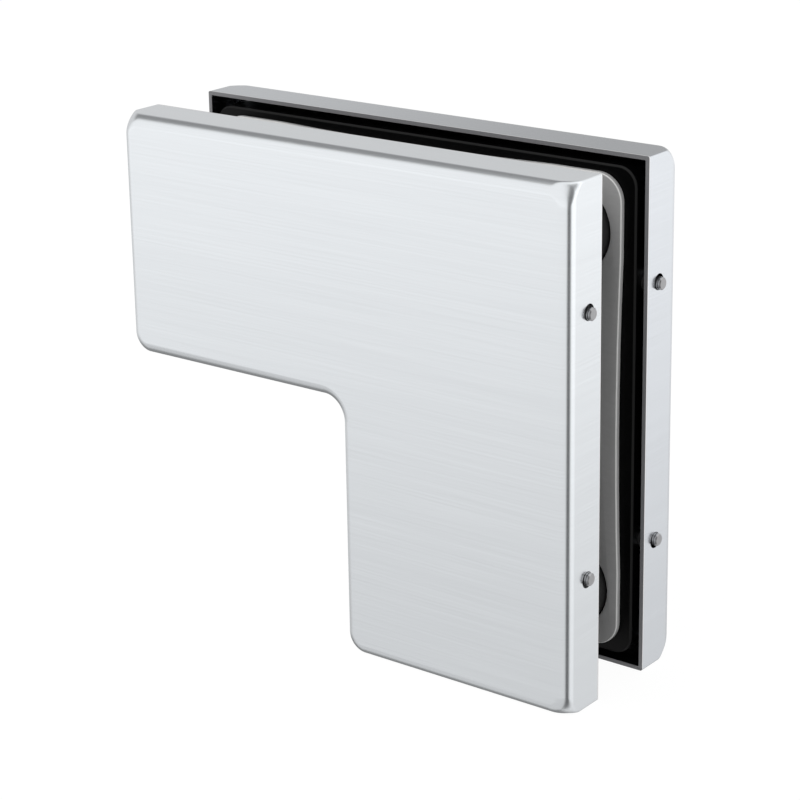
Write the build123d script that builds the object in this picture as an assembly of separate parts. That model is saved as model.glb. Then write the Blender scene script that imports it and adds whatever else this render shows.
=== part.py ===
from build123d import *
from math import sqrt
import os

# Lengths are millimetres. X runs to the right, Y into the depth and Z up.
# The fitting stands on the end of its upright arm, with Z zero under that end.

# Outline of the L, seen from the front
overall_width = 110.0
overall_height = 105.0
level_arm_height = 51.0
upright_arm_width = 54.0
inner_bend_radius = 5.5

# Stack through the depth
cover_depth = 11.0
glass_thickness = 12.7
gasket_thickness = 1.3
rim_set_back = 0.35
clamp_face_y = -glass_thickness / 2 - gasket_thickness
rim_y = clamp_face_y - rim_set_back
cover_face_y = rim_y - cover_depth

# Folded cover sheet
sheet = 0.8
fold_radius = 2.5
rim_corner_radius = 0.4
face_corner_radius = 6.0
corner_growth_power = 3
corner_sections = 6
waste_overrun = 1.0

# Side pins that hold the covers on
pin_proud = 1.0
pin_shank_radius = 1.3
pin_groove_radius = 1.0
pin_groove_start = 0.4
pin_groove_width = 0.15
pin_tip_radius = 1.25
pin_tip_chamfer = 0.2
pin_collar_radius = 1.9
pin_collar_length = 1.2
pin_tail_radius = 1.1
pin_tail_length = 3.0
pin_from_rim = 4.1
pin_running_gap = 0.05
cover_hole_radius = 1.65
cover_hole_shift = 0.25

# Bush and bore for each pin
bush_radius = 2.4
bush_length = 3.0
bush_chamfer = 0.3
bore_radius = 2.05
bore_depth = 12.5
bore_bottom_web = 2.5
housing_half_height = 4.5

# Spring behind each pin
spring_radius = 1.6
spring_wire_width = 0.4
spring_wire_height = 0.6
spring_turns = 4
spring_end_gap = 0.05

# Clamp bodies
body_inset = 2.5
body_corner_radius = 4.0
body_edge_chamfer = 0.35
body_wall = 3.0
body_floor = 3.2
pocket_corner_radius = 2.5
rib_thickness = 3.0
boss_radius = 12.5

# Gaskets
gasket_side_inset = 5.0
gasket_end_inset = 4.0
gasket_corner_radius = 5.5
gasket_bend_radius = 8.0
gasket_lobe_length = 16.0
gasket_waist = 0.6
gasket_hole_radius = 9.2

# Clamp screws and what they pass through
screw_from_gasket_edge = 11.7
screw_radius = 3.0
screw_length = 25.0
screw_tip_chamfer = 0.6
screw_head_radius = 5.0
screw_head_height = 4.0
screw_head_chamfer = 0.4
socket_across_flats = 5.0
socket_depth = 2.2
screw_clear_gap = 0.3
head_clear_gap = 0.4
counterbore_depth = 4.8

# Threaded inserts, spigots and glass sleeves
thread_gap = 0.05
insert_radius = 4.25
insert_flange_radius = 5.75
insert_flange_height = 1.5
insert_length = 14.5
insert_recess_gap = 0.2
insert_tip_from_spigot = 1.0
spigot_radius = 5.6
spigot_height = 9.5
spigot_chamfer = 0.5
sleeve_gap = 0.1
sleeve_radius = 8.9
sleeve_beyond_glass = 0.5
sleeve_chamfer = 0.5

# Places worked out from the sizes above
left_edge = -(overall_width + pin_proud) / 2
right_edge = left_edge + overall_width
cover_inside_y = cover_face_y + sheet
body_side_x = right_edge - body_inset
pin_y = rim_y - pin_from_rim
upper_pin_z = overall_height - level_arm_height / 2
lower_pin_z = upright_arm_width / 2
gasket_left = left_edge + gasket_side_inset
gasket_right = right_edge - gasket_side_inset
gasket_top = overall_height - gasket_end_inset
gasket_low = gasket_end_inset
screw_left_x = gasket_left + screw_from_gasket_edge
screw_right_x = gasket_right - screw_from_gasket_edge
screw_top_z = gasket_top - screw_from_gasket_edge
screw_low_z = gasket_low + screw_from_gasket_edge

# One clamp screw at the corner and one at the end of each arm
screw_places = {
    "corner": (screw_right_x, screw_top_z),
    "arm": (screw_left_x, screw_top_z),
    "foot": (screw_right_x, screw_low_z),
}
pin_heights = {"upper": upper_pin_z, "lower": lower_pin_z}


def upright_plane(y):
    """Plane facing the front at depth y, with X to the right and Z up."""
    return Plane.XZ.offset(-y)


def prism(outline, y_front, y_rear):
    """Solid between two depths from an outline drawn as seen from the front."""
    return extrude(upright_plane(y_front) * outline, y_rear - y_front, dir=(0, 1, 0))


def disc_along_y(radius, x, z, y_front, y_rear):
    """Round bar along the depth."""
    return prism(Pos(x, z) * Circle(radius), y_front, y_rear)


def bar_along_x(radius, y, z, x_start, x_end):
    """Round bar along the width."""
    return extrude(Plane.YZ.offset(x_start) * Pos(y, z) * Circle(radius), x_end - x_start, dir=(1, 0, 0))


def outer_corners(inset):
    """The L's five outer corners, each with the way it points in X and in Z, in order round the L."""
    left = left_edge + inset
    right = right_edge - inset
    top = overall_height - inset
    inner_x, inner_z = bend_corner(inset)
    return [
        ((left, top), (-1, 1)),
        ((right, top), (1, 1)),
        ((right, inset), (1, -1)),
        ((inner_x, inset), (-1, -1)),
        ((left, inner_z), (-1, -1)),
    ]


def bend_corner(inset):
    """The L's one inner corner."""
    return (right_edge - upright_arm_width + inset, overall_height - level_arm_height + inset)


def sharp_outline(inset, bend_radius):
    """L outline with every side moved in from the cover's outside, rounded at the inner corner alone."""
    corners = [corner for corner, way in outer_corners(inset)]
    bend = bend_corner(inset)
    outline = Polygon(*corners[:4], bend, corners[4], align=None)
    return fillet(outline.vertices().sort_by_distance((*bend, 0))[0], bend_radius)


def l_outline(inset, corner_radius, bend_radius):
    """The same outline with its outer corners rounded too."""
    outline = sharp_outline(inset, bend_radius)
    for corner, way in outer_corners(inset):
        outline = fillet(outline.vertices().sort_by_distance((*corner, 0))[0], corner_radius)
    return outline


def corner_waste_section(corner, way, radius, y):
    """Section of what is cut from a sharp corner to leave it round, at depth y."""
    x, z = corner
    out_x, out_z = way
    round_start = (x - out_x * radius, z)
    round_middle = (x - out_x * radius * (1 - sqrt(0.5)), z - out_z * radius * (1 - sqrt(0.5)))
    round_end = (x, z - out_z * radius)
    beyond_x = x + out_x * waste_overrun
    beyond_z = z + out_z * waste_overrun
    beyond = Polyline(round_end, (beyond_x, round_end[1]), (beyond_x, beyond_z), (round_start[0], beyond_z), round_start)
    return upright_plane(y) * make_face(Wire([ThreePointArc(round_start, round_middle, round_end), *beyond.edges()]))


def corner_waste(corner, way, face_radius, face_y):
    """Waste along one corner: thin at the rim, then wider and wider to the face."""
    sections = []
    for step in range(corner_sections):
        share = step / (corner_sections - 1)
        radius = rim_corner_radius + (face_radius - rim_corner_radius) * share ** corner_growth_power
        sections.append(corner_waste_section(corner, way, radius, rim_y + share * (face_y - rim_y)))
    return loft(sections)


def cover_form(inset):
    """Closed form of a cover: crisp corners at the rim, rounder towards the face, folded face edge."""
    face_y = cover_face_y + inset
    form = prism(sharp_outline(inset, inner_bend_radius + inset), face_y, rim_y)
    for corner, way in outer_corners(inset):
        form -= corner_waste(corner, way, face_corner_radius - inset, face_y)
    face = form.faces().sort_by(Axis.Y)[0]
    return fillet(face.outer_wire().edges(), fold_radius - inset)


def cover():
    """Front cover: thin folded shell with two holes in its right side for the pins."""
    shell = cover_form(0) - cover_form(sheet)
    for side, height in pin_heights.items():
        away = cover_hole_shift if side == "upper" else -cover_hole_shift
        shell -= bar_along_x(cover_hole_radius, pin_y, height + away, right_edge - 2 * sheet, right_edge + sheet)
    return shell


def pocket_ribs():
    """Ribs that cross the pocket of each arm halfway between the screws."""
    rib_x = (screw_left_x + screw_right_x) / 2
    rib_z = (screw_top_z + screw_low_z) / 2
    depth_middle = (cover_inside_y + clamp_face_y) / 2
    depth = clamp_face_y - cover_inside_y
    upright_rib = Pos(rib_x, depth_middle, screw_top_z) * Box(rib_thickness, depth, overall_height)
    level_rib = Pos(screw_right_x, depth_middle, rib_z) * Box(overall_width, depth, rib_thickness)
    return upright_rib + level_rib


def pin_housing(height):
    """Block left in the pocket round one pin bore."""
    length = bore_depth + bore_bottom_web
    depth = clamp_face_y - cover_inside_y
    place = Pos(body_side_x - length / 2, (cover_inside_y + clamp_face_y) / 2, height)
    return place * Box(length, depth, 2 * housing_half_height)


def pin_bore(height):
    """Stepped bore from the body's side: a seat for the bush, then room for collar and spring."""
    seat = bar_along_x(bush_radius, pin_y, height, body_side_x - bush_length, body_side_x)
    room = bar_along_x(bore_radius, pin_y, height, body_side_x - bore_depth, body_side_x)
    return seat + room


def body_pocket():
    """Hollow on the cover side of a body, between the walls, bosses, ribs and pin housings."""
    inset = body_inset + body_wall
    bend = inner_bend_radius + inset
    pocket = prism(l_outline(inset, pocket_corner_radius, bend), cover_inside_y, clamp_face_y - body_floor)
    for x, z in screw_places.values():
        pocket -= disc_along_y(boss_radius, x, z, cover_inside_y, clamp_face_y)
    pocket -= pocket_ribs()
    for height in pin_heights.values():
        pocket -= pin_housing(height)
    return pocket


def body_blank():
    """Cast body shared by both halves, with its pocket and pin bores."""
    outline = l_outline(body_inset, body_corner_radius, inner_bend_radius + body_inset)
    blank = prism(outline, cover_inside_y, clamp_face_y)
    clamp_face = blank.faces().sort_by(Axis.Y)[-1]
    cover_face = blank.faces().sort_by(Axis.Y)[0]
    edges = clamp_face.outer_wire().edges() + cover_face.outer_wire().edges()
    blank = chamfer(edges, body_edge_chamfer)
    blank -= body_pocket()
    for height in pin_heights.values():
        blank -= pin_bore(height)
    return blank


def front_body():
    """Front body: a counterbored clearance hole for each screw."""
    body = body_blank()
    for x, z in screw_places.values():
        bearing_y = cover_inside_y + counterbore_depth
        body -= disc_along_y(screw_head_radius + head_clear_gap, x, z, cover_inside_y, bearing_y)
        body -= disc_along_y(screw_radius + screw_clear_gap, x, z, bearing_y, clamp_face_y)
    return body


def spigot(x, z):
    """Round stub on the rear body that reaches through the glass hole."""
    stub = disc_along_y(spigot_radius, x, z, -clamp_face_y - spigot_height, -clamp_face_y)
    tip = stub.faces().sort_by(Axis.Y)[0]
    return chamfer(tip.edges(), spigot_chamfer)


def insert_start():
    """Depth at which the threaded inserts begin, just inside the spigot's tip."""
    return -clamp_face_y - spigot_height + insert_tip_from_spigot


def insert_seat_cut(x, z):
    """Bore and flange recess for one threaded insert, open to the rear, with the screw's own way in."""
    seat_y = insert_start() + insert_length
    way_in = disc_along_y(screw_radius + screw_clear_gap, x, z, -clamp_face_y - spigot_height, insert_start())
    bore = disc_along_y(insert_radius, x, z, insert_start(), seat_y)
    recess = disc_along_y(insert_flange_radius + insert_recess_gap, x, z, seat_y, -cover_inside_y)
    return way_in + bore + recess


def rear_body():
    """Rear body: the same casting turned about, with three spigots and insert seats."""
    body = mirror(body_blank(), Plane.XZ)
    for x, z in screw_places.values():
        body += spigot(x, z)
        body -= insert_seat_cut(x, z)
    return body


def threaded_insert(x, z):
    """Flanged steel insert, pulled in from the rear by its screw. Its thread is a plain bore here."""
    start = insert_start()
    barrel_end = start + insert_length
    barrel = disc_along_y(insert_radius, x, z, start, barrel_end)
    flange = disc_along_y(insert_flange_radius, x, z, barrel_end, barrel_end + insert_flange_height)
    hole = disc_along_y(screw_radius + thread_gap, x, z, start, barrel_end + insert_flange_height)
    return barrel + flange - hole


def clamp_screw(x, z):
    """Socket head screw from the front body into an insert."""
    bearing_y = cover_inside_y + counterbore_depth
    head = disc_along_y(screw_head_radius, x, z, bearing_y - screw_head_height, bearing_y)
    head = chamfer(head.faces().sort_by(Axis.Y)[0].edges(), screw_head_chamfer)
    shank = disc_along_y(screw_radius, x, z, bearing_y, bearing_y + screw_length)
    shank = chamfer(shank.faces().sort_by(Axis.Y)[-1].edges(), screw_tip_chamfer)
    socket = Pos(x, z) * RegularPolygon(socket_across_flats / 2, 6, major_radius=False)
    return head + shank - prism(socket, bearing_y - screw_head_height, bearing_y - screw_head_height + socket_depth)


def glass_sleeve(x, z):
    """Soft sleeve on a spigot that keeps the glass off the metal."""
    front_y = -clamp_face_y - gasket_thickness - glass_thickness + sleeve_beyond_glass
    sleeve = disc_along_y(sleeve_radius, x, z, front_y, -clamp_face_y)
    sleeve = chamfer(sleeve.faces().sort_by(Axis.Y)[0].edges(), sleeve_chamfer)
    return sleeve - disc_along_y(spigot_radius + sleeve_gap, x, z, front_y, -clamp_face_y)


def waisted_side(start, end, inward):
    """Long side of a gasket: straight along the lobe at each end, drawn in by the waist between them."""
    x, z = start
    length = abs(end[0] - x) + abs(end[1] - z)
    along_x = (end[0] - x) / length
    along_z = (end[1] - z) / length
    waist_start = (x + along_x * gasket_lobe_length, z + along_z * gasket_lobe_length)
    waist_end = (end[0] - along_x * gasket_lobe_length, end[1] - along_z * gasket_lobe_length)
    middle = (x + along_x * length / 2 + inward[0], z + along_z * length / 2 + inward[1])
    return [Line(start, waist_start), ThreePointArc(waist_start, middle, waist_end), Line(waist_end, end)]


def gasket_outline():
    """L outline with waists in its two long outer sides and rounded corners."""
    inner_x = right_edge - upright_arm_width + gasket_side_inset
    inner_z = overall_height - level_arm_height + gasket_end_inset
    top_left = (gasket_left, gasket_top)
    top_right = (gasket_right, gasket_top)
    low_right = (gasket_right, gasket_low)
    low_left = (inner_x, gasket_low)
    bend = (inner_x, inner_z)
    arm_end = (gasket_left, inner_z)
    sides = [
        *waisted_side(top_left, top_right, (0, -gasket_waist)),
        *waisted_side(top_right, low_right, (-gasket_waist, 0)),
        Line(low_right, low_left),
        Line(low_left, bend),
        Line(bend, arm_end),
        Line(arm_end, top_left),
    ]
    outline = make_face(Wire(sides))
    for corner in (top_left, top_right, low_right, low_left, arm_end):
        outline = fillet(outline.vertices().sort_by_distance((*corner, 0))[0], gasket_corner_radius)
    inner = outline.vertices().sort_by_distance((*bend, 0))[0]
    return fillet(inner, gasket_bend_radius)


def gasket():
    """Front gasket with a hole round each glass hole."""
    sheet_part = prism(gasket_outline(), clamp_face_y, clamp_face_y + gasket_thickness)
    for x, z in screw_places.values():
        sheet_part -= disc_along_y(gasket_hole_radius, x, z, clamp_face_y, clamp_face_y + gasket_thickness)
    return sheet_part


def cover_pin(y, height):
    """Spring-loaded pin: tail, collar, shank, narrow groove and chamfered tip."""
    collar_end = body_side_x - bush_length
    collar_start = collar_end - pin_collar_length
    groove_start = right_edge + pin_groove_start
    groove_end = groove_start + pin_groove_width
    tip_end = right_edge + pin_proud
    tail = bar_along_x(pin_tail_radius, y, height, collar_start - pin_tail_length, collar_start)
    collar = bar_along_x(pin_collar_radius, y, height, collar_start, collar_end)
    shank = bar_along_x(pin_shank_radius, y, height, collar_end, groove_start)
    groove = bar_along_x(pin_groove_radius, y, height, groove_start, groove_end)
    tip = bar_along_x(pin_tip_radius, y, height, groove_end, tip_end)
    tip = chamfer(tip.faces().sort_by(Axis.X)[-1].edges(), pin_tip_chamfer)
    return tail + collar + shank + groove + tip


def pin_bush(y, height):
    """Bush pressed into the body's side, flush with it, in which the pin slides."""
    start = body_side_x - bush_length
    bush = bar_along_x(bush_radius, y, height, start, body_side_x)
    bush = chamfer(bush.faces().sort_by(Axis.X)[-1].edges(), bush_chamfer)
    return bush - bar_along_x(pin_shank_radius + pin_running_gap, y, height, start, body_side_x)


def pin_spring(y, height):
    """Flat-wire spring between the bore's bottom and the pin's collar."""
    start = body_side_x - bore_depth + spring_end_gap
    end = body_side_x - bush_length - pin_collar_length - spring_end_gap
    travel = end - start - spring_wire_height
    path = Helix(
        pitch=travel / spring_turns,
        height=travel,
        radius=spring_radius,
        center=(start + spring_wire_height / 2, y, height),
        direction=(1, 0, 0),
    )
    section = Plane(origin=path @ 0, z_dir=path % 0, x_dir=(1, 0, 0)) * Rectangle(spring_wire_height, spring_wire_width)
    return sweep(section, path=path, binormal=Edge.make_line((start, y, height), (end, y, height)))


def rear_copy(shape):
    """The same piece in the rear half."""
    return mirror(shape, Plane.XZ)


def pieces():
    """Every piece of the fitting by its node name."""
    made = {
        "front_cover": cover(),
        "rear_cover": rear_copy(cover()),
        "front_body": front_body(),
        "rear_body": rear_body(),
        "front_gasket": gasket(),
        "rear_gasket": rear_copy(gasket()),
    }
    for place, (x, z) in screw_places.items():
        made[place + "_clamp_screw"] = clamp_screw(x, z)
        made[place + "_threaded_insert"] = threaded_insert(x, z)
        made[place + "_glass_sleeve"] = glass_sleeve(x, z)
    for half, y in {"front": pin_y, "rear": -pin_y}.items():
        for side, height in pin_heights.items():
            name = half + "_" + side + "_pin"
            made[name] = cover_pin(y, height)
            made[name + "_bush"] = pin_bush(y, height)
            made[name + "_spring"] = pin_spring(y, height)
    return made


os.makedirs("parts", exist_ok=True)
for node, shape in pieces().items():
    export_step(shape, "parts/" + node + ".step")
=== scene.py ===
"""Looks of the transom patch fitting: finishes, close detail, studio and camera."""
import logging
import math
from dataclasses import dataclass
from enum import Enum
from typing import Iterable, Optional, Union

import bmesh
import bpy
from mathutils import Matrix, Vector


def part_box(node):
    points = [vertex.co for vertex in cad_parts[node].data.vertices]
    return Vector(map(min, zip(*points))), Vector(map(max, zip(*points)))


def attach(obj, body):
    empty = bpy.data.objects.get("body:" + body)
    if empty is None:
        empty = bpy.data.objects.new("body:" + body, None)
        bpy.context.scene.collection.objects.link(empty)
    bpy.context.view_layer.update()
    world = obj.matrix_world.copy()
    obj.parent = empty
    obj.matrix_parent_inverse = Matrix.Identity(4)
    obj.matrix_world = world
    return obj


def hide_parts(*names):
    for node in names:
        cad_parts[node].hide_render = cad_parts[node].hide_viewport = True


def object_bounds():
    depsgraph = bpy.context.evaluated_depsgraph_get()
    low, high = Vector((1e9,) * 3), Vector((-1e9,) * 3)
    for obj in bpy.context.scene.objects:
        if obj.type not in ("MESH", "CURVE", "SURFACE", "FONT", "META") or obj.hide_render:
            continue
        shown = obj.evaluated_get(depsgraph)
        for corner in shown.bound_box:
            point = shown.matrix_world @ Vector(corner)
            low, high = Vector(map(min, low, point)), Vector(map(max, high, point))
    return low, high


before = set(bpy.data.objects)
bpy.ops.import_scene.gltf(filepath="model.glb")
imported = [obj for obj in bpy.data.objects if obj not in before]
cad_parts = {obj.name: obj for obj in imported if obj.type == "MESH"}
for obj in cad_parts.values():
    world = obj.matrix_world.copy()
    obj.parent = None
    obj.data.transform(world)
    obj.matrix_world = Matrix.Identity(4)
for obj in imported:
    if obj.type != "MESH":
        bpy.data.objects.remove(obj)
cad_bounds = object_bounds()

log = logging.getLogger("patch_fitting")

MM = 0.001
ROOT_BODY = "fitting"


class Half(Enum):
    """The two halves that grip the glass."""

    FRONT = "front"
    REAR = "rear"


class ScrewPlace(Enum):
    """Where a clamp screw sits in the L."""

    CORNER = "corner"
    ARM = "arm"
    FOOT = "foot"


class PinPlace(Enum):
    """Where a cover pin sits on the right side."""

    FRONT_UPPER = "front_upper"
    FRONT_LOWER = "front_lower"
    REAR_UPPER = "rear_upper"
    REAR_LOWER = "rear_lower"


# Shader building

Term = Union[float, "Wire"]
Color = tuple[float, float, float]
Inputs = dict[Union[str, int], object]


def toned(color: Color, factor: float) -> Color:
    """A colour made lighter or darker by a factor, at most white."""
    return tuple(min(1.0, part * factor) for part in color)


class Wire:
    """A node's output that adds Math nodes when it stands in an expression."""

    def __init__(self, graph: "Graph", socket: bpy.types.NodeSocket) -> None:
        """Wrap one output socket of a graph."""
        self.graph = graph
        self.socket = socket

    def __add__(self, other: Term) -> "Wire":
        """Sum."""
        return self.graph.math("ADD", self, other)

    def __radd__(self, other: Term) -> "Wire":
        """Sum with the number first."""
        return self.graph.math("ADD", other, self)

    def __sub__(self, other: Term) -> "Wire":
        """Difference."""
        return self.graph.math("SUBTRACT", self, other)

    def __rsub__(self, other: Term) -> "Wire":
        """Difference with the number first."""
        return self.graph.math("SUBTRACT", other, self)

    def __mul__(self, other: Term) -> "Wire":
        """Product."""
        return self.graph.math("MULTIPLY", self, other)

    def __rmul__(self, other: Term) -> "Wire":
        """Product with the number first."""
        return self.graph.math("MULTIPLY", other, self)

    def __truediv__(self, other: Term) -> "Wire":
        """Quotient."""
        return self.graph.math("DIVIDE", self, other)


class Graph:
    """A node tree under construction."""

    COLOR_A = 6
    COLOR_B = 7
    COLOR_RESULT = 2

    def __init__(self, tree: bpy.types.NodeTree) -> None:
        """Start with an empty tree."""
        self.tree = tree
        self.tree.nodes.clear()

    def add(self, kind: str, settings: Optional[dict] = None, inputs: Optional[dict] = None,
            output: Union[int, str] = 0) -> Wire:
        """Add any node.

        Args:
            kind: The node's type.
            settings: Properties of the node, set before its sockets.
            inputs: Socket values or wires by name or number.
            output: Name or number of the output that the wire takes.

        Returns:
            The chosen output as a wire.
        """
        node = self.tree.nodes.new(kind)
        for name, value in (settings or {}).items():
            setattr(node, name, value)
        for name, value in (inputs or {}).items():
            if isinstance(value, Wire):
                self.tree.links.new(value.socket, node.inputs[name])
            else:
                node.inputs[name].default_value = value
        return Wire(self, node.outputs[output] if node.outputs else None)

    def math(self, operation: str, first: Term, second: Term = 0.0) -> Wire:
        """A Math node on one or two terms."""
        return self.add("ShaderNodeMath", {"operation": operation}, {0: first, 1: second})

    def ramp(self, factor: Wire, low: float, high: float, at_low: float, at_high: float) -> Wire:
        """Map a factor smoothly from one range to another.

        Args:
            factor: The value to map.
            low: Factor where the change starts.
            high: Factor where the change ends.
            at_low: Result up to the start.
            at_high: Result from the end on.

        Returns:
            The mapped value.
        """
        inputs = {"Value": factor, "From Min": low, "From Max": high, "To Min": at_low, "To Max": at_high}
        return self.add("ShaderNodeMapRange", {"interpolation_type": "SMOOTHSTEP"}, inputs)

    def noise(self, vector: Wire, scale: float = 1.0, detail: float = 2.0, roughness: float = 0.5) -> Wire:
        """Noise from 0 to 1 over a vector."""
        inputs = {"Vector": vector, "Scale": scale, "Detail": detail, "Roughness": roughness}
        return self.add("ShaderNodeTexNoise", {}, inputs)

    def blend(self, factor: Wire, first: Union[Color, Wire], second: Union[Color, Wire]) -> Wire:
        """Blend two colours by a factor from 0 to 1."""
        colors = [color if isinstance(color, Wire) else (*color, 1.0) for color in (first, second)]
        inputs = {0: factor, self.COLOR_A: colors[0], self.COLOR_B: colors[1]}
        return self.add("ShaderNodeMix", {"data_type": "RGBA"}, inputs, self.COLOR_RESULT)

    def parts(self, kind: str, output: str) -> tuple[Wire, Wire, Wire]:
        """The three parts of a coordinate node's vector output."""
        vector = self.add(kind, output=output)
        return tuple(self.add("ShaderNodeSeparateXYZ", {}, {0: vector}, axis) for axis in range(3))

    def place(self) -> tuple[Wire, Wire, Wire]:
        """Object coordinates of the shaded point, in metres."""
        return self.parts("ShaderNodeTexCoord", "Object")

    def facing(self) -> tuple[Wire, Wire, Wire]:
        """Direction of the surface on the object."""
        return self.parts("ShaderNodeTexCoord", "Normal")

    def edges(self, start: float, end: float) -> Wire:
        """How far the surface turns between the depth and the other ways, from 0 to 1.

        Args:
            start: Turn at which the edge begins to show.
            end: Turn from which it shows in full, where 1 is halfway round.

        Returns:
            The edge's mask.
        """
        upright = self.facing()[1]
        turned = upright * upright
        return self.ramp(4.0 * turned * (1.0 - turned), start, end, 0.0, 1.0)

    def vector(self, x: Term, y: Term, z: Term) -> Wire:
        """A vector from three terms."""
        return self.add("ShaderNodeCombineXYZ", {}, {0: x, 1: y, 2: z})

    def bump(self, height: Wire, strength: float, distance: float) -> Wire:
        """Surface direction after a fine relief of a height in metres."""
        return self.add("ShaderNodeBump", {}, {"Height": height, "Strength": strength, "Distance": distance})

    def close(self, shader: Wire, kind: str = "ShaderNodeOutputMaterial") -> None:
        """Link a shader to the tree's output."""
        self.add(kind, {}, {"Surface": shader})


@dataclass(frozen=True)
class Finish:
    """A surface finish with its name and plain values."""

    name: str
    color: Color
    roughness: float

    def shade(self, graph: Graph) -> Inputs:
        """Inputs of the Principled shader for this finish."""
        return {"Base Color": (*self.color, 1.0), "Roughness": self.roughness}

    def material(self) -> bpy.types.Material:
        """Make the finish's material."""
        material = bpy.data.materials.new(self.name)
        material.use_nodes = True
        graph = Graph(material.node_tree)
        graph.close(graph.add("ShaderNodeBsdfPrincipled", {}, self.shade(graph)))
        return material


@dataclass(frozen=True)
class BrushedSteel(Finish):
    """Steel sheet brushed along its level direction before it was folded."""

    lines_per_metre: float = 2600.0
    line_stretch: float = 28.0
    broad_lines_per_metre: float = 260.0
    broad_stretch: float = 6.0
    fine_share: float = 0.65
    relief: float = 0.12
    relief_depth: float = 0.05 * MM
    color_range: float = 0.08
    roughness_range: float = 0.08
    cut_edge_y: float = 8.06 * MM
    cut_edge_soft: float = 0.04 * MM
    cut_edge_color: Color = (0.26, 0.26, 0.27)
    cut_edge_metallic: float = 0.4
    cut_edge_roughness: float = 0.6
    # Painted highlight: a white band just inside the rim's edge.
    painted_highlight_width: float = 0.3 * MM
    painted_highlight_color: Color = (1.0, 1.0, 1.0)
    top_start: float = 0.6
    top_end: float = 0.8
    back_start: float = 0.6
    back_end: float = 0.9
    top_reach: float = 60.0 * MM
    # Painted shade: how far the top, more to the right, and the back darken towards the colour below.
    top_painted_shade_left: float = 0.0
    top_painted_shade_right: float = 0.0
    back_painted_shade: float = 0.0
    painted_shade_color: Color = (0.0, 0.0, 0.0)

    def shade(self, graph: Graph) -> Inputs:
        """Level grain on the front and sides, and grain along the fold on top, with a painted highlight along
        the rim's edge; painted shade can darken the top and back.
        """
        x, y, z = graph.place()
        facing_y, facing_z = graph.facing()[1:]
        on_top = graph.ramp(graph.math("ABSOLUTE", facing_z), self.top_start, self.top_end, 0.0, 1.0)
        across = z + on_top * (y - z)
        along = x + (1.0 - on_top) * y
        fine_place = graph.vector(along * self.line_stretch, across * self.lines_per_metre, 0.0)
        broad_place = graph.vector(along * self.broad_stretch, across * self.broad_lines_per_metre, 0.0)
        fine = graph.noise(fine_place, detail=3.0)
        broad = graph.noise(broad_place)
        grain = self.fine_share * fine + (1.0 - self.fine_share) * broad
        dark = toned(self.color, 1.0 - self.color_range)
        light = toned(self.color, 1.0 + self.color_range)
        depth = graph.math("ABSOLUTE", y)
        cut = graph.ramp(depth, self.cut_edge_y, self.cut_edge_y + self.cut_edge_soft, 1.0, 0.0)
        # Painted highlight: a white band just inside the rim's edge.
        painted_highlight_end = self.cut_edge_y + self.painted_highlight_width
        painted_highlight = graph.ramp(depth, painted_highlight_end - 0.5 * self.painted_highlight_width, painted_highlight_end, 1.0, 0.0)
        polished = self.roughness + (grain - 0.5) * self.roughness_range
        # Painted shade on the top, growing to the right, and on the back.
        sideways = graph.ramp(x, -self.top_reach, self.top_reach, self.top_painted_shade_left, self.top_painted_shade_right)
        top_painted_shade = on_top * sideways
        back_painted_shade = graph.ramp(facing_y, self.back_start, self.back_end, 0.0, self.back_painted_shade)
        brushed = graph.blend(top_painted_shade + back_painted_shade, graph.blend(grain, dark, light), self.painted_shade_color)
        sheet = graph.blend(painted_highlight, brushed, self.painted_highlight_color)
        return {
            "Base Color": graph.blend(cut, sheet, self.cut_edge_color),
            "Metallic": 1.0 - cut * (1.0 - self.cut_edge_metallic),
            "Roughness": polished + cut * (self.cut_edge_roughness - polished),
            "Normal": graph.bump(grain, self.relief, self.relief_depth),
        }


@dataclass(frozen=True)
class TurnedSteel(Finish):
    """Steel turned on a lathe, with faint rings round an axis along X."""

    ring_scale: float = 5000.0
    stain_scale: float = 900.0
    stain_tone: float = 0.8
    roughness_range: float = 0.15
    relief: float = 0.15
    relief_depth: float = 0.02 * MM

    def shade(self, graph: Graph) -> Inputs:
        """Rings along the axis and faint stain between them."""
        x, y, z = graph.place()
        rings = graph.noise(graph.vector(x * self.ring_scale, 0.0, 0.0), 1.0, 1.0)
        stain = graph.noise(graph.vector(x, y, z), self.stain_scale, 3.0)
        return {
            "Base Color": graph.blend(stain, toned(self.color, self.stain_tone), self.color),
            "Metallic": 1.0,
            "Roughness": self.roughness + (rings - 0.5) * self.roughness_range,
            "Normal": graph.bump(rings, self.relief, self.relief_depth),
        }


@dataclass(frozen=True)
class CoatedCasting(Finish):
    """Casting under a thin coat that keeps the mould's fine grain."""

    grain_scale: float = 2200.0
    patch_scale: float = 90.0
    patch_tone: float = 1.6
    roughness_range: float = 0.1
    relief: float = 0.1
    relief_depth: float = 0.08 * MM
    gloss_level: float = 0.12
    # Painted highlight on the chamfered edges round the clamp face.
    painted_highlight_start: float = 0.7
    painted_highlight_end: float = 0.95
    painted_highlight_color: Color = (0.014, 0.014, 0.014)

    def shade(self, graph: Graph) -> Inputs:
        """Fine mould grain under an even coat, with a painted highlight on the chamfered edges round the
        clamp face.
        """
        x, y, z = graph.place()
        place = graph.vector(x, y, z)
        grain = graph.noise(place, self.grain_scale, 3.0, 0.6)
        patches = graph.noise(place, self.patch_scale)
        coat = graph.blend(patches, self.color, toned(self.color, self.patch_tone))
        return {
            "Base Color": graph.blend(graph.edges(self.painted_highlight_start, self.painted_highlight_end), coat, self.painted_highlight_color),
            "Roughness": self.roughness + (grain - 0.5) * self.roughness_range,
            "Normal": graph.bump(grain, self.relief, self.relief_depth),
            "Specular IOR Level": self.gloss_level,
        }


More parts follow.
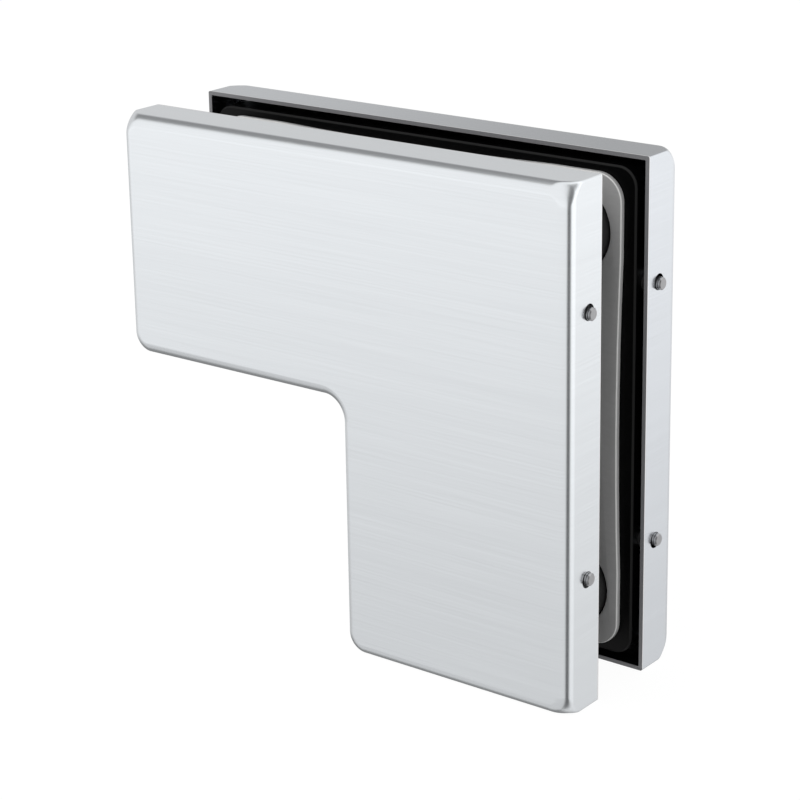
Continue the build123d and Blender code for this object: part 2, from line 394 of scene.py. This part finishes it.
@dataclass(frozen=True)
class GasketFibre(Finish):
    """Pressed grey gasket board with short fibres."""

    fibre_scale: float = 1500.0
    fibre_squash: tuple[float, float] = (0.35, 1.6)
    fibre_share: float = 0.6
    cloud_scale: float = 140.0
    dark_tone: float = 0.82
    light_tone: float = 1.12
    roughness_range: float = 0.15
    relief: float = 0.35
    relief_depth: float = 0.1 * MM
    # Painted highlight on the rounded edge.
    painted_highlight_start: float = 0.25
    painted_highlight_end: float = 0.9
    painted_highlight_color: Color = (0.8, 0.8, 0.79)

    def shade(self, graph: Graph) -> Inputs:
        """Short fibres lying in the sheet, with a painted highlight on the rounded edge."""
        x, y, z = graph.place()
        squash_x, squash_y = self.fibre_squash
        fibres = graph.noise(graph.vector(x * squash_x, y * squash_y, z), self.fibre_scale, 4.0, 0.65)
        clouds = graph.noise(graph.vector(x, y, z), self.cloud_scale)
        pattern = self.fibre_share * fibres + (1.0 - self.fibre_share) * clouds
        board = graph.blend(pattern, toned(self.color, self.dark_tone), toned(self.color, self.light_tone))
        return {
            "Base Color": graph.blend(graph.edges(self.painted_highlight_start, self.painted_highlight_end), board, self.painted_highlight_color),
            "Roughness": self.roughness + (fibres - 0.5) * self.roughness_range,
            "Normal": graph.bump(fibres, self.relief, self.relief_depth),
        }


@dataclass(frozen=True)
class MouldedPlastic(Finish):
    """Moulded soft plastic with a faint orange-peel skin."""

    skin_scale: float = 1200.0
    skin_tone: float = 1.4
    skin_lift: float = 0.004
    roughness_range: float = 0.12
    relief: float = 0.2
    relief_depth: float = 0.06 * MM

    def shade(self, graph: Graph) -> Inputs:
        """Faint skin relief."""
        x, y, z = graph.place()
        skin = graph.noise(graph.vector(x, y, z), self.skin_scale)
        light = tuple(part * self.skin_tone + self.skin_lift for part in self.color)
        return {
            "Base Color": graph.blend(skin, self.color, light),
            "Roughness": self.roughness + (skin - 0.5) * self.roughness_range,
            "Normal": graph.bump(skin, self.relief, self.relief_depth),
        }


FRONT_STEEL = BrushedSteel("cover_steel_front", (0.87, 0.90, 0.93), 0.24)
# The rear cover's steel is the front's steel painted a shade darker, with more painted shade on its top and
# back.
REAR_STEEL_PAINTED_SHADE = BrushedSteel("cover_steel_rear_painted_shade", (0.80, 0.83, 0.87), 0.24,
                          top_painted_shade_left=0.18, top_painted_shade_right=0.44, back_painted_shade=0.2)
SCREW_STEEL = TurnedSteel("screw_steel", (0.45, 0.45, 0.46), 0.35)
INSERT_STEEL = TurnedSteel("insert_steel", (0.5, 0.5, 0.5), 0.32)
PIN_STEEL = TurnedSteel("pin_steel", (0.46, 0.46, 0.47), 0.3)
BUSH_BLACK = MouldedPlastic("bush_black", (0.012, 0.012, 0.012), 0.5)
SPRING_STEEL = TurnedSteel("spring_steel", (0.5, 0.5, 0.5), 0.3)
BODY_BLACK = CoatedCasting("body_black", (0.0012, 0.0012, 0.0013), 0.32)
GASKET_GREY = GasketFibre("gasket_grey", (0.42, 0.42, 0.42), 0.8)
SLEEVE_BLACK = MouldedPlastic("sleeve_black", (0.012, 0.012, 0.012), 0.5)


# Mesh work

WELD_DISTANCE = 0.002 * MM
FLAT_ANGLE = math.radians(0.4)
EDGE_ANGLE = math.radians(40.0)
SMOOTH_ANGLE = math.radians(30.0)
HOLE_SIDES = 64
FLAT_WEIGHT = 100


def only(piece: bpy.types.Object) -> None:
    """Select one piece alone and make it active."""
    bpy.ops.object.select_all(action="DESELECT")
    piece.select_set(True)
    bpy.context.view_layer.objects.active = piece


def dress(piece: bpy.types.Object, material: bpy.types.Material) -> None:
    """Put one material on every face of a piece."""
    piece.data.materials.clear()
    piece.data.materials.append(material)
    for face in piece.data.polygons:
        face.material_index = 0


def dress_nodes(nodes: Iterable[str], finish: Finish) -> None:
    """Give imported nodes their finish."""
    material = finish.material()
    for node in nodes:
        dress(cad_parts[node], material)
        log.info("dressed %s with %s", node, finish.name)


def merged_copy(node: str, name: str) -> bpy.types.Object:
    """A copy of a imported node's mesh with its loose triangles joined into whole faces.

    Args:
        node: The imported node.
        name: The new piece's name.

    Returns:
        The new piece, with its place in its mesh.
    """
    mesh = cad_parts[node].data.copy()
    piece = bpy.data.objects.new(name, mesh)
    bpy.context.scene.collection.objects.link(piece)
    only(piece)
    bpy.ops.mesh.customdata_custom_splitnormals_clear()
    bpy.ops.object.mode_set(mode="EDIT")
    bpy.ops.mesh.select_all(action="SELECT")
    bpy.ops.mesh.remove_doubles(threshold=WELD_DISTANCE)
    bpy.ops.mesh.dissolve_limited(angle_limit=FLAT_ANGLE)
    bpy.ops.object.mode_set(mode="OBJECT")
    return piece


def round_edges(piece: bpy.types.Object, width: float, segments: int) -> None:
    """Round a piece's sharp edges and shade the rest smoothly.

    Args:
        piece: The piece to work on.
        width: Width of the rounding in metres.
        segments: Steps across the rounding.
    """
    only(piece)
    bevel = piece.modifiers.new("rounding", "BEVEL")
    bevel.width = width
    bevel.segments = segments
    bevel.limit_method = "ANGLE"
    bevel.angle_limit = EDGE_ANGLE
    bevel.harden_normals = False
    bpy.ops.object.modifier_apply(modifier=bevel.name)
    bpy.ops.object.shade_smooth_by_angle(angle=SMOOTH_ANGLE)


def settle(piece: bpy.types.Object, node: str, material: bpy.types.Material) -> None:
    """Dress a finished piece and put it in its node's stead.

    Args:
        piece: The finished piece.
        node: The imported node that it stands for.
        material: The piece's material.
    """
    dress(piece, material)
    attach(piece, ROOT_BODY)
    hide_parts(node)
    log.info("built %s for %s", piece.name, node)


# Cover meshes

Ring = list[tuple[float, float]]


def rounded_outline(corners: list[tuple[float, float, float]], steps: int) -> Ring:
    """A closed outline with every corner rounded, whichever way it turns.

    Args:
        corners: X, Z and radius of each corner, in order.
        steps: Segments in each rounding.

    Returns:
        The outline's points, as many for each corner.
    """
    points = []
    for number, (x, z, radius) in enumerate(corners):
        before = corners[number - 1]
        after = corners[(number + 1) % len(corners)]
        corner = Vector((x, z))
        come = (corner - Vector(before[:2])).normalized()
        leave = (Vector(after[:2]) - corner).normalized()
        center = corner + radius * (leave - come)
        for step in range(steps + 1):
            angle = math.radians(90.0 * step / steps)
            points.append(tuple(center + radius * (come * math.sin(angle) - leave * math.cos(angle))))
    return points


def skin_rings(rings: list[tuple[float, Ring]], name: str) -> bpy.types.Object:
    """A closed skin through rings at set depths, capped at both ends.

    Args:
        rings: Depth and outline of each ring, in order.
        name: The new piece's name.

    Returns:
        The new piece, with its place in its mesh.
    """
    form = bmesh.new()
    loops = [[form.verts.new((x, depth, z)) for x, z in ring] for depth, ring in rings]
    for near, far in zip(loops, loops[1:]):
        for number in range(len(near)):
            following = (number + 1) % len(near)
            form.faces.new((near[number], near[following], far[following], far[number]))
    form.faces.new(loops[0])
    form.faces.new(loops[-1])
    bmesh.ops.recalc_face_normals(form, faces=form.faces)
    mesh = bpy.data.meshes.new(name)
    form.to_mesh(mesh)
    form.free()
    piece = bpy.data.objects.new(name, mesh)
    bpy.context.scene.collection.objects.link(piece)
    return piece


def drill(piece: bpy.types.Object, center: Vector, radius: float, length: float) -> None:
    """Cut a round hole along X through a piece."""
    bpy.ops.object.select_all(action="DESELECT")
    along_x = (0.0, math.radians(90.0), 0.0)
    bpy.ops.mesh.primitive_cylinder_add(vertices=HOLE_SIDES, radius=radius, depth=length, location=center,
                                        rotation=along_x)
    cutter = bpy.context.active_object
    only(piece)
    cut = piece.modifiers.new("hole", "BOOLEAN")
    cut.operation = "DIFFERENCE"
    cut.solver = "EXACT"
    cut.object = cutter
    bpy.ops.object.modifier_apply(modifier=cut.name)
    bpy.data.objects.remove(cutter)


def shade_folded(piece: bpy.types.Object) -> None:
    """Smooth shading over the folds that leaves the flats flat."""
    only(piece)
    bpy.ops.object.shade_smooth_by_angle(angle=EDGE_ANGLE)
    weighted = piece.modifiers.new("flats", "WEIGHTED_NORMAL")
    weighted.mode = "FACE_AREA"
    weighted.weight = FLAT_WEIGHT
    weighted.keep_sharp = True
    bpy.ops.object.modifier_apply(modifier=weighted.name)


# Sub-assemblies


@dataclass
class CoverPair:
    """The two folded covers: corners crisp along the sides that round off where the face folds over."""

    level_arm: float = 51.0 * MM
    upright_arm: float = 54.0 * MM
    bend_radius: float = 4.7 * MM
    sheet: float = 0.8 * MM
    fold_radius: float = 2.5 * MM
    rim_corner_radius: float = 0.4 * MM
    face_corner_radius: float = 4.4 * MM
    inner_corner_radius: float = 0.2 * MM
    round_start: float = 6.2 * MM
    round_end: float = 10.4 * MM
    round_rings: int = 10
    fold_rings: int = 18
    corner_steps: int = 18
    hole_radius: float = 1.65 * MM
    hole_shift: float = 0.25 * MM
    finishes: tuple[BrushedSteel, BrushedSteel] = (FRONT_STEEL, REAR_STEEL_PAINTED_SHADE)

    def corner_radius(self, depth: float) -> float:
        """Outer corner radius at a distance from the rim."""
        share = min(1.0, max(0.0, (depth - self.round_start) / (self.round_end - self.round_start)))
        growth = share * share * (3.0 - 2.0 * share)
        return self.rim_corner_radius + (self.face_corner_radius - self.rim_corner_radius) * growth

    def outline(self, box: tuple[Vector, Vector], inset: float, radius: float) -> Ring:
        """The L with every side moved in by an inset."""
        lo, hi = box
        inner_x = hi.x - self.upright_arm + inset
        inner_z = hi.z - self.level_arm + inset
        left, right, top, low = lo.x + inset, hi.x - inset, hi.z - inset, lo.z + inset
        corners = [(left, top, radius), (right, top, radius), (right, low, radius), (inner_x, low, radius),
                   (inner_x, inner_z, self.bend_radius + inset), (left, inner_z, radius)]
        return rounded_outline(corners, self.corner_steps)

    def skin(self, box: tuple[Vector, Vector], rim_y: float, way: float,
             thickness: float) -> list[tuple[float, Ring]]:
        """Rings of one skin from the rim to the flat of the face.

        Args:
            box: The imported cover's box.
            rim_y: Depth of the rim.
            way: Sign of Y from the rim to the face.
            thickness: How far the skin lies inside the cover's outside.

        Returns:
            Depth and outline of each ring.
        """
        fold = self.fold_radius - thickness
        fold_start = box[1].y - box[0].y - self.fold_radius
        stations = [(0.0, thickness)]
        for step in range(self.round_rings):
            depth = self.round_start + (fold_start - self.round_start) * step / self.round_rings
            stations.append((depth, thickness))
        for step in range(self.fold_rings + 1):
            angle = math.radians(90.0 * step / self.fold_rings)
            stations.append((fold_start + fold * math.sin(angle), thickness + fold * (1.0 - math.cos(angle))))
        rings = []
        for depth, inset in stations:
            radius = max(self.inner_corner_radius, self.corner_radius(depth) - inset)
            rings.append((rim_y + way * depth, self.outline(box, inset, radius)))
        return rings

    def build(self) -> None:
        """Fold both covers and drill the holes for their pins."""
        for half, finish in zip(Half, self.finishes):
            node = half.value + "_cover"
            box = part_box(node)
            way = -1.0 if half is Half.FRONT else 1.0
            rim_y = box[1].y if half is Half.FRONT else box[0].y
            outside = self.skin(box, rim_y, way, 0.0)
            inside = self.skin(box, rim_y, way, self.sheet)
            piece = skin_rings(outside[::-1] + inside, node + "_sheet")
            for side, away in (("upper", self.hole_shift), ("lower", -self.hole_shift)):
                pin_lo, pin_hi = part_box(half.value + "_" + side + "_pin")
                middle = (pin_lo + pin_hi) / 2
                center = Vector((box[1].x, middle.y, middle.z + away))
                drill(piece, center, self.hole_radius, 4.0 * self.sheet)
            shade_folded(piece)
            settle(piece, node, finish.material())


@dataclass
class BodyPair:
    """The two cast clamp bodies."""

    finish: CoatedCasting = BODY_BLACK

    def dress(self) -> None:
        """Give both bodies their black coat."""
        dress_nodes([half.value + "_body" for half in Half], self.finish)


@dataclass
class GasketPair:
    """The two gaskets, with edges that the cutting die left soft."""

    edge_rounding: float = 0.35 * MM
    rounding_steps: int = 4
    finish: GasketFibre = GASKET_GREY

    def build(self) -> None:
        """Make both gaskets from their packed outlines."""
        material = self.finish.material()
        for half in Half:
            node = half.value + "_gasket"
            piece = merged_copy(node, node + "_board")
            round_edges(piece, self.edge_rounding, self.rounding_steps)
            settle(piece, node, material)


@dataclass
class ScrewSets:
    """Clamp screws with their inserts and glass sleeves."""

    def dress(self) -> None:
        """Give every screw, insert and sleeve its finish."""
        places = [place.value for place in ScrewPlace]
        dress_nodes([place + "_clamp_screw" for place in places], SCREW_STEEL)
        dress_nodes([place + "_threaded_insert" for place in places], INSERT_STEEL)
        dress_nodes([place + "_glass_sleeve" for place in places], SLEEVE_BLACK)


@dataclass
class PinSets:
    """Cover pins with their bushes and springs."""

    def dress(self) -> None:
        """Give every pin, bush and spring its finish."""
        places = [place.value for place in PinPlace]
        dress_nodes([place + "_pin" for place in places], PIN_STEEL)
        dress_nodes([place + "_pin_bush" for place in places], BUSH_BLACK)
        dress_nodes([place + "_pin_spring" for place in places], SPRING_STEEL)


# Studio

WHITE = (1.0, 1.0, 1.0, 1.0)


@dataclass(frozen=True)
class Band:
    """A stretch of the surroundings round one compass angle, in degrees, with soft sides."""

    azimuth: float
    half: float
    soft: float
    change: float = 0.0

    def share(self, graph: Graph, x: Wire, y: Wire, flat: Wire) -> Wire:
        """How far a direction lies within the band, from 0 to 1."""
        angle = math.radians(self.azimuth)
        closeness = (x * math.cos(angle) + y * math.sin(angle)) / flat
        outer = math.cos(math.radians(self.half + self.soft))
        inner = math.cos(math.radians(self.half))
        return graph.ramp(closeness, outer, inner, 0.0, 1.0)


@dataclass(frozen=True)
class Surroundings:
    """What lights the fitting and shows in its steel, by direction. Z levels are those of unit directions."""

    soft_level: float = 0.8
    nadir_z: tuple[float, float] = (-0.5, -0.12)
    sky_z: tuple[float, float] = (-0.2, 0.05)
    back_top_z: tuple[float, float] = (0.8, 0.97)
    glow_low_z: tuple[float, float] = (-0.6, -0.3)
    glow_high_z: tuple[float, float] = (0.36, 0.6)
    above_one: float = 1.0001
    nadir: float = 0.62
    horizon: float = 1.06
    sky: float = 0.88
    back: Band = Band(155.0, 25.0, 30.0)
    back_dark: float = 0.25
    back_glow: float = 0.42
    bands: tuple[Band, ...] = (
        Band(-19.0, 7.0, 14.0, -0.84),
        Band(27.0, 6.0, 28.0, 0.27),
        Band(100.0, 8.0, 25.0, -0.12),
    )

    def build(self) -> None:
        """Make the world's shader."""
        world = bpy.data.worlds.new("studio")
        bpy.context.scene.world = world
        world.use_nodes = True
        graph = Graph(world.node_tree)
        x, y, z = graph.parts("ShaderNodeTexCoord", "Generated")
        flat = graph.math("SQRT", self.above_one - z * z)
        below = graph.ramp(z, *self.nadir_z, self.nadir, self.horizon)
        around = below * graph.ramp(z, *self.sky_z, 1.0, self.sky)
        behind = self.back.share(graph, x, y, flat) * graph.ramp(z, *self.back_top_z, 1.0, 0.0)
        low_glow = graph.ramp(z, *self.glow_low_z, 0.0, 1.0) * graph.ramp(z, *self.glow_high_z, 1.0, 0.0)
        shown = around + behind * (self.back_dark + self.back_glow * low_glow - around)
        for band in self.bands:
            shown = shown * (1.0 + band.change * band.share(graph, x, y, flat))
        camera = graph.add("ShaderNodeLightPath", output="Is Camera Ray")
        glossy = graph.add("ShaderNodeLightPath", output="Is Glossy Ray")
        strength = camera + glossy * shown + (1.0 - camera) * (1.0 - glossy) * self.soft_level
        background = graph.add("ShaderNodeBackground", {}, {"Color": WHITE, "Strength": strength})
        graph.close(background, "ShaderNodeOutputWorld")


@dataclass(frozen=True)
class Floor:
    """Plain pale floor that keeps a faint shadow."""

    half_size: float = 3.0
    drop: float = 0.02 * MM
    color: Color = (0.92, 0.92, 0.92)
    camera_white: float = 0.93
    white_level: float = 1.03

    def build(self) -> None:
        """Make the floor and its material."""
        bpy.ops.object.select_all(action="DESELECT")
        middle = (0.0, 0.0, cad_bounds[0].z - self.drop)
        bpy.ops.mesh.primitive_plane_add(size=2 * self.half_size, location=middle)
        floor = bpy.context.active_object
        floor.name = "floor"
        material = bpy.data.materials.new("floor")
        material.use_nodes = True
        graph = Graph(material.node_tree)
        lit = graph.add("ShaderNodeBsdfDiffuse", {}, {"Color": (*self.color, 1.0)})
        white = graph.add("ShaderNodeEmission", {}, {"Color": WHITE, "Strength": self.white_level})
        camera = graph.add("ShaderNodeLightPath", output="Is Camera Ray")
        graph.close(graph.add("ShaderNodeMixShader", {}, {0: camera * self.camera_white, 1: lit, 2: white}))
        dress(floor, material)
        floor.visible_glossy = False


@dataclass(frozen=True)
class Softbox:
    """A large soft lamp aimed at the fitting's middle, in metres, degrees and watts."""

    name: str = "key_softbox"
    azimuth: float = -120.0
    elevation: float = 50.0
    distance: float = 0.9
    size: float = 0.7
    power: float = 2.0

    def build(self, target: Vector) -> None:
        """Hang the lamp and aim it."""
        azimuth = math.radians(self.azimuth)
        elevation = math.radians(self.elevation)
        way = Vector((math.cos(azimuth) * math.cos(elevation), math.sin(azimuth) * math.cos(elevation),
                      math.sin(elevation)))
        bpy.ops.object.light_add(type="AREA", location=target + way * self.distance)
        lamp = bpy.context.active_object
        lamp.name = self.name
        lamp.data.shape = "SQUARE"
        lamp.data.size = self.size
        lamp.data.energy = self.power
        lamp.rotation_mode = "QUATERNION"
        lamp.rotation_quaternion = way.to_track_quat("Z", "Y")
        lamp.visible_glossy = False


@dataclass(frozen=True)
class PhotoCamera:
    """A tilted camera close to the photograph's, in metres and degrees.

    The photograph's own large shift would carry the fitting out of every other view, so it is small here.
    """

    place: tuple[float, float, float] = (0.28476, -0.36522, 0.20851)
    yaw: float = -37.819
    pitch: float = -17.145
    roll: float = 0.976
    lens: float = 108.085
    shift_x: float = 0.0
    shift_y: float = -0.1
    clip_start: float = 0.01

    def build(self) -> None:
        """Set up the camera."""
        yaw, pitch, roll = (math.radians(angle) for angle in (self.yaw, self.pitch, self.roll))
        forward = Vector((math.sin(yaw) * math.cos(pitch), math.cos(yaw) * math.cos(pitch), math.sin(pitch)))
        level = Vector((math.cos(yaw), -math.sin(yaw), 0.0))
        down = forward.cross(level)
        right = level * math.cos(roll) + down * math.sin(roll)
        up = level * math.sin(roll) - down * math.cos(roll)
        turn = Matrix((right, up, -forward)).transposed().to_4x4()
        bpy.ops.object.camera_add()
        camera = bpy.context.active_object
        camera.matrix_world = Matrix.Translation(self.place) @ turn
        camera.data.lens = self.lens
        camera.data.shift_x = self.shift_x
        camera.data.shift_y = self.shift_y
        camera.data.clip_start = self.clip_start
        bpy.context.scene.camera = camera


def main() -> None:
    """Dress the fitting, build its finer pieces and set up the studio."""
    PhotoCamera().build()
    CoverPair().build()
    BodyPair().dress()
    GasketPair().build()
    ScrewSets().dress()
    PinSets().dress()
    Floor().build()
    Surroundings().build()
    Softbox().build((cad_bounds[0] + cad_bounds[1]) / 2)
    bpy.context.scene.view_settings.view_transform = "Standard"


if __name__ == "__main__":
    logging.basicConfig(level=logging.INFO, format="%(message)s")
    main()
